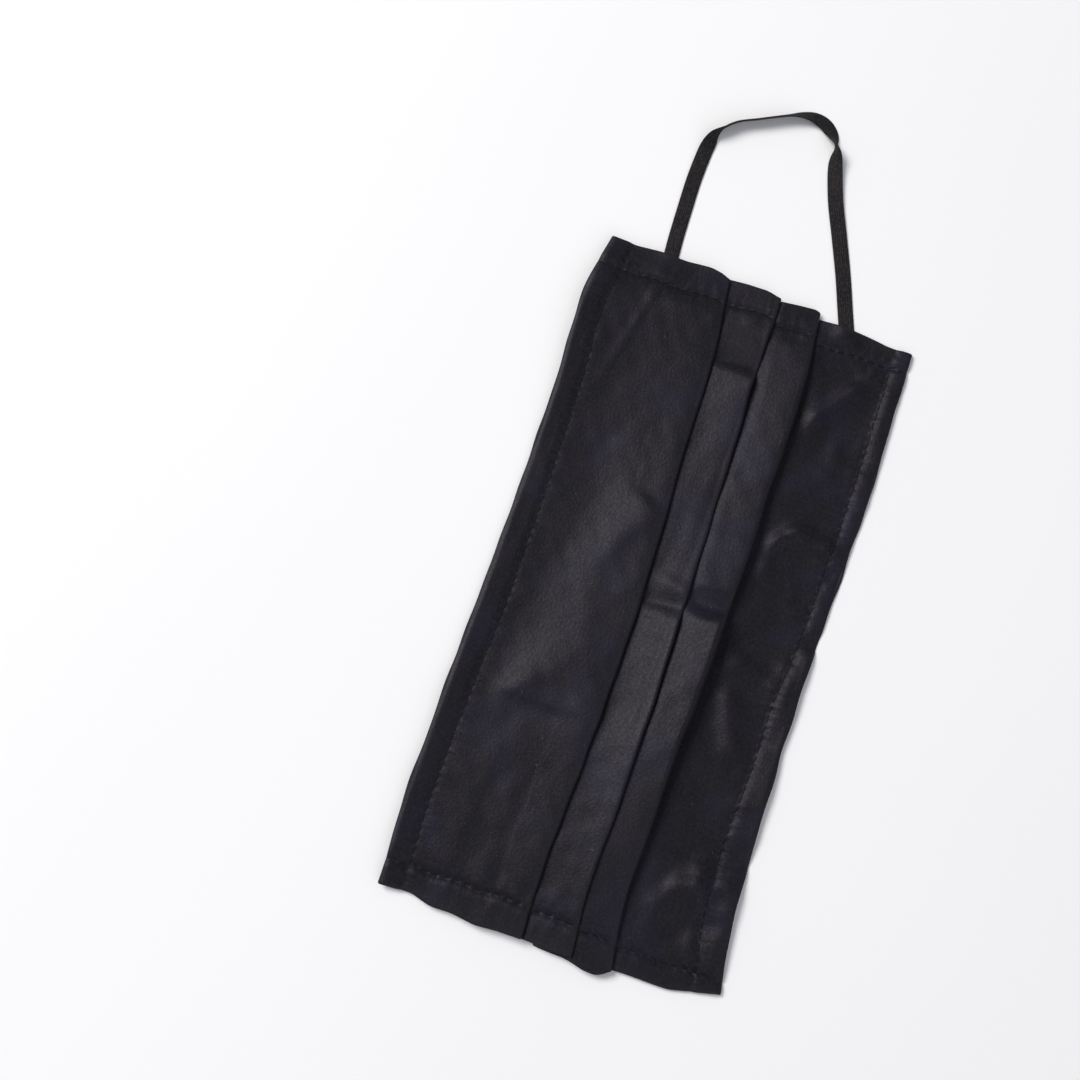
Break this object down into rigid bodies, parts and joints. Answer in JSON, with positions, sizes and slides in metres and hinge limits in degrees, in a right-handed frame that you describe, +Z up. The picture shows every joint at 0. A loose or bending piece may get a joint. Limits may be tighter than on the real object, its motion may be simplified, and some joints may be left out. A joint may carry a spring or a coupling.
{
  "type": "cloth face mask",
  "caption": "Pleated cloth face mask lying flat: stitched body with three knife pleats, one elastic ear loop open at an end, the other tucked under.",
  "frame": {"origin": "bottom centre of the cloth body's box, on the surface that the mask lies on", "axes": "+X along the mask to the end whose ear loop lies open, +Y to the nose edge (the wide top panel), +Z up, out of the mask's outer face"},
  "size_m": [0.24, 0.0917, 0.0089],
  "materials": {
    "cotton": "matt woven cotton, near black, topstitched in black thread",
    "elastic": "matt flat braided elastic, black, ribbed lengthwise"
  },
  "bodies": {
    "root": {"mask_body": "cotton", "ear_loop_near": "elastic", "ear_loop_far": "elastic"}
  },
  "joints": []
}
